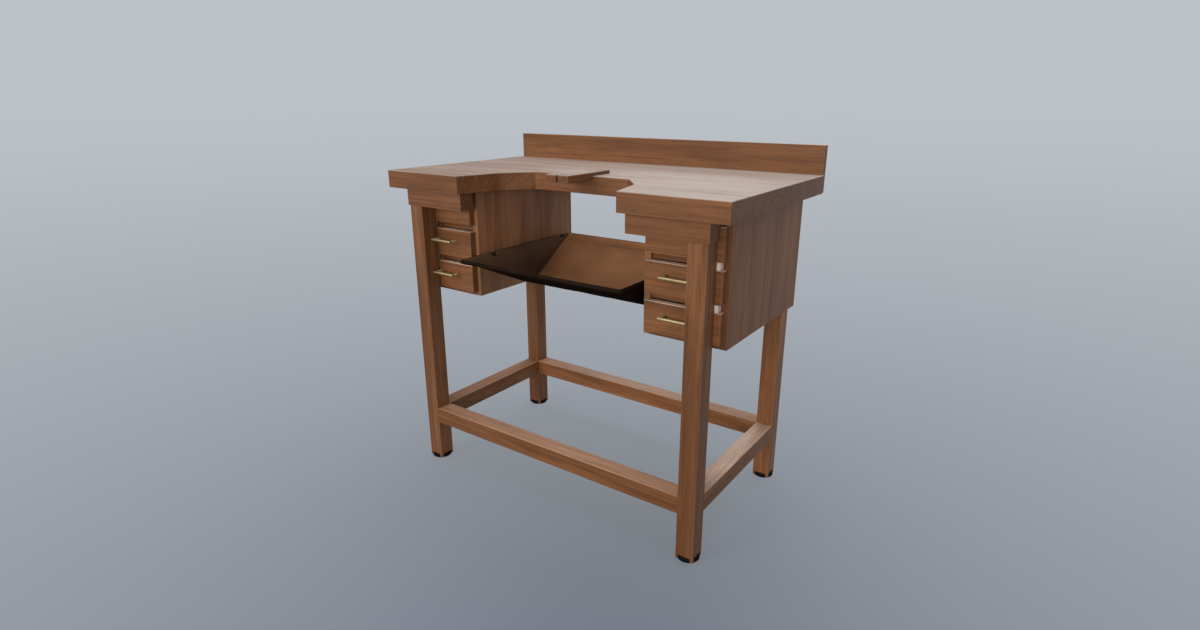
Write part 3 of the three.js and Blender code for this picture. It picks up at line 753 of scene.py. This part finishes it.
feet = sorted(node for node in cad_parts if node.endswith("foot"))
for node in feet:
    foot = new_piece(node + "_disc", foot_work(node), "bench", black_rubber)
    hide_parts(node)
print("feet:", len(feet))

# %% [markdown]
# ## Packing pieces
#
# Beside each front leg the fronts are fixed blocks that no drawer passes. The gaps between them are
# closed with small pieces of white sycamore, whose very pale tone is a painted highlight standing
# for light on faces in the gaps. Each one is a cube, pulled to size, with its edges eased by a
# bevel.

# %% Fill the gaps beside the legs
# The very pale tone is a painted highlight, standing for light on faces in the gaps.
SYCAMORE_PAINTED_HIGHLIGHT_SHADES = ((0.62, 0.45, 0.36), (0.78, 0.60, 0.505), (0.84, 0.675, 0.58))
SYCAMORE_LOG = (0.4, 0.09, 0.03)
STACKED = ("lower_block", "middle_block", "fixed_front")
PACKING_SETBACK = 0.001
PACKING_LENGTH = 0.044
PACKING_INSET = 0.008
PACKING_EASE = 0.0006
FIT = 0.0003

packing = bmesh.new()
for side in ("left", "right"):
    stack = [[Vector(corner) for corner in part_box(f"{side}_cabinet_{name}")] for name in STACKED]
    (block_low, block_high), (front_low, front_high) = stack[0], stack[2]
    front_y = front_low.y + PACKING_SETBACK
    for (_, below), (above, _) in zip(stack, stack[1:]):
        low = Vector((block_low.x + PACKING_INSET, front_y, below.z + FIT))
        high = Vector((block_high.x - PACKING_INSET, front_high.y, above.z - FIT))
        if side == "left":
            high.x = low.x + PACKING_LENGTH
        else:
            low.x = high.x - PACKING_LENGTH
        cube = bmesh.ops.create_cube(packing, size=1.0)["verts"]
        bmesh.ops.scale(packing, verts=cube, vec=high - low)
        bmesh.ops.translate(packing, verts=cube, vec=(low + high) / 2)
bmesh.ops.bevel(
    packing, geom=packing.edges[:], offset=PACKING_EASE,
    affect="EDGES", segments=2, profile=0.5, material=-1
)
packing_box = [Vector(op(v.co[i] for v in packing.verts) for i in range(3)) for op in (min, max)]
# A pale finish for the pieces: painted highlight.
highlight_sycamore = wood("white_sycamore_painted_highlight", "x", packing_box, SYCAMORE_LOG, SYCAMORE_PAINTED_HIGHLIGHT_SHADES)
new_piece("packing_pieces", packing, "bench", highlight_sycamore)
print("packing pieces in", [tuple(round(value, 3) for value in corner) for corner in packing_box])

# %% [markdown]
# ## The leather skin
#
# The skin is one hide, hemmed round an iron rod frame that lies on four hooks. Its front and back
# fall to a soft fold, and its ends close it like the ends of a roof turned over. A sheet of cloth
# dropped by simulation would crumple; a hide this stiff keeps its form. So it is drawn as rings:
# the rim is a rectangle with round corners, it is extruded outwards over the rod, and then row by
# row inwards and down, until the last ring closes on the fold.

# %% Rim of the skin
SKIN_MIDDLE_Y = -0.05435
RIM_HEIGHT = 0.695
RIM_HALF = (0.2663, 0.24355)
RIM_CORNER = 0.0043
SKIN_STEP = 0.009
LONG_EDGE = 0.1
ON_SIDE = 1e-4
WINDOW_MIDDLES = (-0.1736, 0.1489)
WINDOW_HALF = 0.011

hide = bmesh.new()
half_x, half_y = RIM_HALF
corners = [
    hide.verts.new((x, SKIN_MIDDLE_Y + y, RIM_HEIGHT))
    for x, y in ((-half_x, -half_y), (half_x, -half_y), (half_x, half_y), (-half_x, half_y))
]
hide.faces.new(corners)
bmesh.ops.bevel(
    hide, geom=corners, offset=RIM_CORNER, affect="VERTICES", segments=4, profile=0.5, material=-1
)
bmesh.ops.delete(hide, geom=hide.faces[:], context="FACES_ONLY")
for edge in [edge for edge in hide.edges if edge.calc_length() > LONG_EDGE]:
    cuts = round(edge.calc_length() / SKIN_STEP)
    bmesh.ops.subdivide_edges(hide, edges=[edge], cuts=cuts)


def nearest_on_side(side, y):
    verts = [vert for vert in hide.verts if vert.co.x * side > half_x - ON_SIDE]
    return min(verts, key=lambda vert: abs(vert.co.y - y))


for side in (-1, 1):
    for middle in WINDOW_MIDDLES:
        for end in (-WINDOW_HALF, WINDOW_HALF):
            nearest_on_side(side, middle + end).co.y = middle + end
rim = hide.edges[:]
print("rim of the skin:", len(rim), "edges")

# %% [markdown]
# Each point of the rim remembers the way outwards, in a layer that an extrusion copies along, so
# that the hem can find the middle of the rod later. The outside and the top of the hem take the
# third, nearly black finish: dyed as saddlers do with edges, and like the flesh side also painted
# shade.

# %% Hem round the rod
HEM_RADIUS = 0.0057
HEM_START, HEM_END = math.radians(180.0), math.radians(-125.0)
HEM_STEPS = 14
DYED_AND_SHADED_BELOW = math.radians(110.0)
GRAIN, ENDS, FLESH = range(3)
outward = hide.verts.layers.float_vector.new("outward")
rod_place = hide.verts.layers.float_vector.new("rod_place")


def way_out(x, y):
    """The level direction out of the rim at a point, turned evenly round its corners."""
    past_x = max(abs(x) - (half_x - RIM_CORNER), 0.0)
    past_y = max(abs(y) - (half_y - RIM_CORNER), 0.0)
    return Vector((math.copysign(past_x, x), math.copysign(past_y, y), 0.0)).normalized()


def side_of(face):
    """Whether a face belongs to one of the two ends or to a long wall."""
    way = sum((vert[outward] for vert in face.verts), Vector())
    return ENDS if abs(way.x) > abs(way.y) else GRAIN


def next_ring(edges):
    """Extrudes a ring of the hide, and gives the new ring's edges and points and the new faces."""
    made = bmesh.ops.extrude_edge_only(hide, edges=edges)["geom"]
    ring = [part for part in made if isinstance(part, bmesh.types.BMEdge)]
    points = list(dict.fromkeys(vert for edge in ring for vert in edge.verts))
    return ring, points, [part for part in made if isinstance(part, bmesh.types.BMFace)]


for vert in hide.verts:
    vert[outward] = way_out(vert.co.x, vert.co.y - SKIN_MIDDLE_Y)
    vert[rod_place] = vert.co + vert[outward] * HEM_RADIUS
hem = rim
for step in range(1, HEM_STEPS + 1):
    angle = HEM_START + (HEM_END - HEM_START) * step / HEM_STEPS
    hem, points, faces = next_ring(hem)
    for face in faces:
        # Hem faces past that angle take the near-black finish: dye, and painted shade.
        face.material_index = FLESH if angle < DYED_AND_SHADED_BELOW else side_of(face)
    for vert in points:
        level = vert[outward] * (HEM_RADIUS * math.cos(angle))
        vert.co = vert[rod_place] + level + Vector((0, 0, HEM_RADIUS * math.sin(angle)))
print("hem:", HEM_STEPS, "steps round the rod")

# %% [markdown]
# The walls follow a hanging curve: straight near the rim, level at the fold. They belly a little
# under their own weight, and small hollows taken from smooth noise keep them from looking pressed.
# The last row is so narrow that its two sides are merged into the fold.

# %% Walls of the skin
SKIN_DROP = 0.108
FOLD_HALF_WIDTH = 0.226
FOLD_RADIUS = 0.015
FOLD_SHARE = 0.001
FOLD_MERGE = 0.0012
BELLY = 0.003
HOLLOW = 0.0012
HOLLOW_SCALE, DIMPLE_SCALE = 11.0, 27.0
WALL_ROWS = 26
CLOSER_ROWS = 1.1
WINDOW_DROP = 0.0081
FULL_SLOPE = math.hypot(half_y, FOLD_RADIUS)


def wall_height(share):
    return RIM_HEIGHT - SKIN_DROP * (1 - math.hypot(half_y * share, FOLD_RADIUS) / FULL_SLOPE)


def share_at(drop):
    """The share of the rim's size at which the wall has fallen that far."""
    slope = FULL_SLOPE * (1 - drop / SKIN_DROP)
    return math.sqrt(slope * slope - FOLD_RADIUS * FOLD_RADIUS) / half_y


def half_size(share):
    return FOLD_HALF_WIDTH + (half_x - FOLD_HALF_WIDTH) * share, half_y * share


first = share_at(WINDOW_DROP)
shares = [first * (1 - row / WALL_ROWS) ** CLOSER_ROWS for row in range(WALL_ROWS)]
about_middle = Matrix.Translation((0, -SKIN_MIDDLE_Y, 0))
row_edges = rim
size = RIM_HALF
for share in [*shares, FOLD_SHARE]:
    row_edges, points, faces = next_ring(row_edges)
    for face in faces:
        face.material_index = side_of(face)
    wanted = half_size(share)
    shrink = (wanted[0] / size[0], wanted[1] / size[1], 1.0)
    bmesh.ops.scale(hide, verts=points, vec=shrink, space=about_middle)
    slack = math.sin(QUARTER * (1 - share)) ** 2
    for vert in points:
        ripple = noise.noise(vert.co * HOLLOW_SCALE) + 0.5 * noise.noise(vert.co * DIMPLE_SCALE)
        vert.co.z = wall_height(share) - slack * BELLY + slack * HOLLOW * ripple
    size = wanted
bmesh.ops.remove_doubles(hide, verts=points, dist=FOLD_MERGE)
print("walls: fold at", round(min(vert.co.z for vert in hide.verts), 4))

# %% [markdown]
# Four windows are cut through the hem, where the hooks take hold of the rod. Where the ends meet
# the long walls the hide is creased, so those edges are kept sharp.

# %% Windows and creases
WINDOW_DEPTH = 0.004
WINDOW_SPARE = 0.0005


def in_window(face):
    middle = face.calc_center_median()
    at_end = abs(middle.x) > half_x - WINDOW_DEPTH
    above_sill = middle.z > RIM_HEIGHT - WINDOW_DROP - WINDOW_SPARE
    return at_end and above_sill and any(abs(middle.y - y) < WINDOW_HALF for y in WINDOW_MIDDLES)


windows = [face for face in hide.faces if in_window(face)]
bmesh.ops.delete(hide, geom=windows, context="FACES")
bmesh.ops.recalc_face_normals(hide, faces=hide.faces)
deepest = min(hide.faces, key=lambda face: face.calc_center_median().z)
if deepest.normal.z < 0:
    bmesh.ops.reverse_faces(hide, faces=hide.faces)
for face in hide.faces:
    face.smooth = True
for edge in hide.edges:
    finishes = {face.material_index for face in edge.link_faces}
    edge.smooth = finishes != {GRAIN, ENDS}
print("windows:", len(windows), "faces cut away, sheet of", len(hide.faces), "faces")

# %% [markdown]
# ## Leather
#
# Bark-tanned cowhide: a brown with cloudy tone, a pebbled grain one or two millimetres across and
# a dull shine where filings and hands have rubbed it. Cells of a Voronoi pattern make the pebbles.
# The ends are painted much darker than the walls, and that dark is painted shade. The flesh side
# below is painted nearly black, which is painted shade where the sheet faces down, and being rough
# like suede it has no shine at all. The sheet gets its thickness downwards from a modifier, which
# also closes its cut edges.

# %% The leather finish
HIDE_THICKNESS = 0.0024
PEBBLES_PER_METRE = 620.0
RUBBED_LEATHER = (0.290, 0.158, 0.080)
GRAIN_SIDE = ((0.350, 0.159, 0.068), (0.497, 0.233, 0.105))
# The ends' much darker tone is painted shade.
ENDS_PAINTED_SHADE = ((0.088, 0.042, 0.018), (0.132, 0.064, 0.029))
# The near-black flesh side is painted shade where the sheet faces down.
FLESH_SIDE_PAINTED_SHADE = ((0.013, 0.008, 0.005), (0.024, 0.014, 0.010))


def leather(name, shades, rubbed, shine):
    finish = Finish(name)
    bent = finish.speckle(finish.place, 160.0, 2.0)
    inputs = {"Vector": finish.place, "Scale": PEBBLES_PER_METRE}
    pebbles = finish.node("ShaderNodeTexVoronoi", {"feature": "DISTANCE_TO_EDGE"}, inputs)
    crease = finish.between(pebbles + bent * 0.1, 0.05, 0.22)
    cloud = finish.speckle(finish.place, 9.0, 5.0, 0.6)
    rub = finish.between(finish.speckle(finish.place, 26.0, 4.0, 0.65), 0.52, 0.78)
    tone = finish.blend(finish.between(cloud, 0.3, 0.72), *shades)
    tone = finish.blend(rub * rubbed, tone, RUBBED_LEATHER)
    tone = finish.blend((1 - crease) * 0.5, tone, darker(shades[0], 0.45))
    return finish.finished(
        Base_Color=tone,
        Roughness=0.52 + cloud * 0.2 - rub * 0.1,
        Specular_IOR_Level=shine,
        Normal=finish.bump(crease + bent * 0.4, 0.4, 0.0005),
    )


brown_leather = leather("brown_leather", GRAIN_SIDE, 0.3, 0.3)
skin = new_piece("hung_skin", hide, "bench", brown_leather)
# The ends take a darker finish: painted shade.
skin.data.materials.append(leather("ends_leather_painted_shade", ENDS_PAINTED_SHADE, 0.1, 0.2))
# The underside takes a near-black finish: painted shade.
skin.data.materials.append(leather("flesh_side_painted_shade", FLESH_SIDE_PAINTED_SHADE, 0.0, 0.0))
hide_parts("leather_skin")
thick = skin.modifiers.new("thickness", "SOLIDIFY")
thick.thickness = HIDE_THICKNESS
thick.offset = -1.0
thick.material_offset = FLESH
thick.material_offset_rim = FLESH
print("skin:", len(skin.data.polygons), "faces")

# %% [markdown]
# ## Stitches in the hem
#
# Waxed thread holds the hem shut, in a row of stitches just under the rod. Each stitch is a short
# six-sided roll with domed ends, a few dozen faces, laid along the wall and repeated.

# %% Stitches
STITCH_PITCH = 0.0065
STITCH_LENGTH = 0.0042
STITCH_RADIUS = 0.0005
STITCH_SIDES = 6
STITCH_DROP = 0.011
STITCH_LIFT = 0.0001
ROW_MARGIN = 0.012


def thread_finish(name):
    finish = Finish(name)
    twist = finish.speckle(finish.place, 2600.0, 2.0)
    colour = finish.blend(twist, (0.045, 0.024, 0.012), (0.090, 0.052, 0.027))
    return finish.finished(Base_Color=colour, Roughness=0.7, Normal=finish.bump(twist, 0.3, 0.0002))


def one_stitch(work, place, along, out):
    """A short roll along one direction, half sunk in the hide."""
    turn = Matrix((along, out.cross(along), out)).transposed().to_4x4()
    lie = Matrix.Translation(place) @ turn @ Matrix.Rotation(QUARTER, 4, "Y")
    before = len(work.verts)
    made = bmesh.ops.create_cone(
        work, cap_ends=True, segments=STITCH_SIDES,
        radius1=STITCH_RADIUS, radius2=STITCH_RADIUS, depth=STITCH_LENGTH
    )["verts"]
    faces = {face for vert in made for face in vert.link_faces}
    ends = [face for face in faces if len(face.verts) == STITCH_SIDES]
    dome = {"thickness": STITCH_RADIUS * 0.4, "depth": STITCH_RADIUS * 0.5}
    bmesh.ops.inset_region(work, faces=ends, **dome)
    work.verts.ensure_lookup_table()
    bmesh.ops.transform(work, verts=work.verts[before:], matrix=lie)


def stitch_row(work, middle, along, out, half_length):
    """Stitches both ways from the middle of a wall. Gives their number."""
    count = int((half_length - ROW_MARGIN) / STITCH_PITCH)
    for number in range(-count, count + 1):
        place = middle + along * (number * STITCH_PITCH) + out * STITCH_LIFT
        one_stitch(work, place, along, out)
    return 2 * count + 1


thread = bmesh.new()
row_half_x, row_half_y = half_size(share_at(STITCH_DROP))
row_middle = Vector((0, SKIN_MIDDLE_Y, RIM_HEIGHT - STITCH_DROP))
fall_x = SKIN_DROP / (half_x - FOLD_HALF_WIDTH)
fall_y = SKIN_DROP / half_y
along_x, along_y = Vector((1, 0, 0)), Vector((0, 1, 0))
stitches = 0
for side in (-1, 1):
    out = Vector((0, -side * fall_y, 1)).normalized()
    on_wall = row_middle + along_y * (side * row_half_y)
    stitches += stitch_row(thread, on_wall, along_x, out, row_half_x)
    out = Vector((-side * fall_x, 0, 1)).normalized()
    on_end = row_middle + along_x * (side * row_half_x)
    stitches += stitch_row(thread, on_end, along_y, out, row_half_y)
waxed_thread = thread_finish("waxed_thread")
hem_stitches = new_piece("hem_stitches", thread, "bench", waxed_thread)
print("stitches:", stitches)

# %% [markdown]
# Spread flat it would be a six-sided hide, widest along the fold.

# %% [markdown]
# ## Screws
#
# A slotted screw is a disc whose top is cut by two lines into three strips. The middle strip, inset
# and pushed down, is the slot. One head is modelled and then stamped where the bench is screwed
# together: hooks to the cabinets, upstand to the worktop, feet to the legs, pulls to the drawers.

# %% One screw head
HEAD_RADIUS = 0.0024
HEAD_HEIGHT = 0.0011
HEAD_SIDES = 20
HEAD_EASE = HEAD_HEIGHT * 0.5
SLOT_HALF = 0.00035
SLOT_DEPTH = HEAD_HEIGHT * 0.55
SLOT_DRAFT = 0.00004
ON_TOP = 1e-6


def top_faces(work):
    return [face for face in work.faces if face.calc_center_median().z > HEAD_HEIGHT - ON_TOP]


def head_mesh():
    work = bmesh.new()
    bmesh.ops.create_circle(work, cap_ends=True, segments=HEAD_SIDES, radius=HEAD_RADIUS)
    lifted = bmesh.ops.extrude_face_region(work, geom=work.faces[:])["geom"]
    verts = [part for part in lifted if isinstance(part, bmesh.types.BMVert)]
    bmesh.ops.translate(work, verts=verts, vec=(0, 0, HEAD_HEIGHT))
    tops = [part for part in lifted if isinstance(part, bmesh.types.BMFace)]
    ring = [edge for face in tops for edge in face.edges]
    bmesh.ops.bevel(
        work, geom=ring, offset=HEAD_EASE, affect="EDGES", segments=3, profile=0.5, material=-1
    )
    bmesh.ops.recalc_face_normals(work, faces=work.faces)
    for x in (-SLOT_HALF, SLOT_HALF):
        flat = top_faces(work)
        edges = [edge for face in flat for edge in face.edges]
        verts = [vert for face in flat for vert in face.verts]
        cut = list(dict.fromkeys(flat + edges + verts))
        bmesh.ops.bisect_plane(work, geom=cut, plane_co=(x, 0, 0), plane_no=(1, 0, 0))
    slot = [face for face in top_faces(work) if abs(face.calc_center_median().x) < SLOT_HALF / 2]
    bmesh.ops.inset_region(work, faces=slot, thickness=SLOT_DRAFT, depth=-SLOT_DEPTH)
    mesh = bpy.data.meshes.new("screw_head")
    work.to_mesh(mesh)
    work.free()
    return mesh


screw_head = head_mesh()
print("screw head:", len(screw_head.polygons), "faces")

# %% [markdown]
# A stamp lays the head on a face, looking along the face's direction. Every slot stands at another
# angle, as a hand leaves it.

# %% Stamp the screws
FIRST_SLOT, NEXT_SLOT = 0.4, 0.9
HOOK_SCREW_DROPS = (0.017, 0.031)
HOOK_THICKNESS = 0.0024
UPSTAND_SCREW_XS = (-0.5, -0.3, -0.1, 0.1, 0.3, 0.5)
UPSTAND_SCREW_HEIGHT = 0.911
HEAD_SINK = 0.0008


def screws(name, places, body):
    """places is a row of (place, way out of the face)."""
    work = bmesh.new()
    for number, (place, out) in enumerate(places):
        facing = Vector(out).to_track_quat("Z", "Y").to_matrix().to_4x4()
        slot_turn = Matrix.Rotation(NEXT_SLOT * number + FIRST_SLOT, 4, "Z")
        stamp(work, screw_head, Matrix.Translation(place) @ facing @ slot_turn)
    new_piece(name, work, body, steel)
    print(name, len(places))


hook_places = []
for node in sorted(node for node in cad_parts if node.endswith("hook")):
    low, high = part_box(node)
    side = 1 if low[0] > 0 else -1
    plate_face = high[0] - HOOK_THICKNESS if side > 0 else low[0] + HOOK_THICKNESS
    for drop in HOOK_SCREW_DROPS:
        place = (plate_face, (low[1] + high[1]) / 2, high[2] - drop)
        hook_places.append((place, (-side, 0, 0)))
screws("hook_screws", hook_places, "bench")

back_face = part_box("back_upstand")[1][1] - HEAD_SINK
back_places = [((x, back_face, UPSTAND_SCREW_HEIGHT), (0, 1, 0)) for x in UPSTAND_SCREW_XS]
screws("upstand_screws", back_places, "bench")

foot_places = []
for node in feet:
    low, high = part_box(node)
    place = ((low[0] + high[0]) / 2, (low[1] + high[1]) / 2, low[2] + HOLE_DEPTH)
    foot_places.append((place, (0, 0, -1)))
screws("foot_screws", foot_places, "bench")

for node in pulls:
    drawer = node.removesuffix("_pull")
    low, high, post_xs = pull_places(node)
    knee_side_x = min(post_xs, key=abs)
    inside_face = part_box(drawer + "_front")[1][1]
    place = (knee_side_x, inside_face, (low.z + high.z) / 2)
    screws(drawer + "_pull_screw", [(place, (0, 1, 0))], drawer)

# %% [markdown]
# ## The end
#
# The dressed bench has to keep the size of the CAD bench.

# %% Finish
print("the bench is dressed")
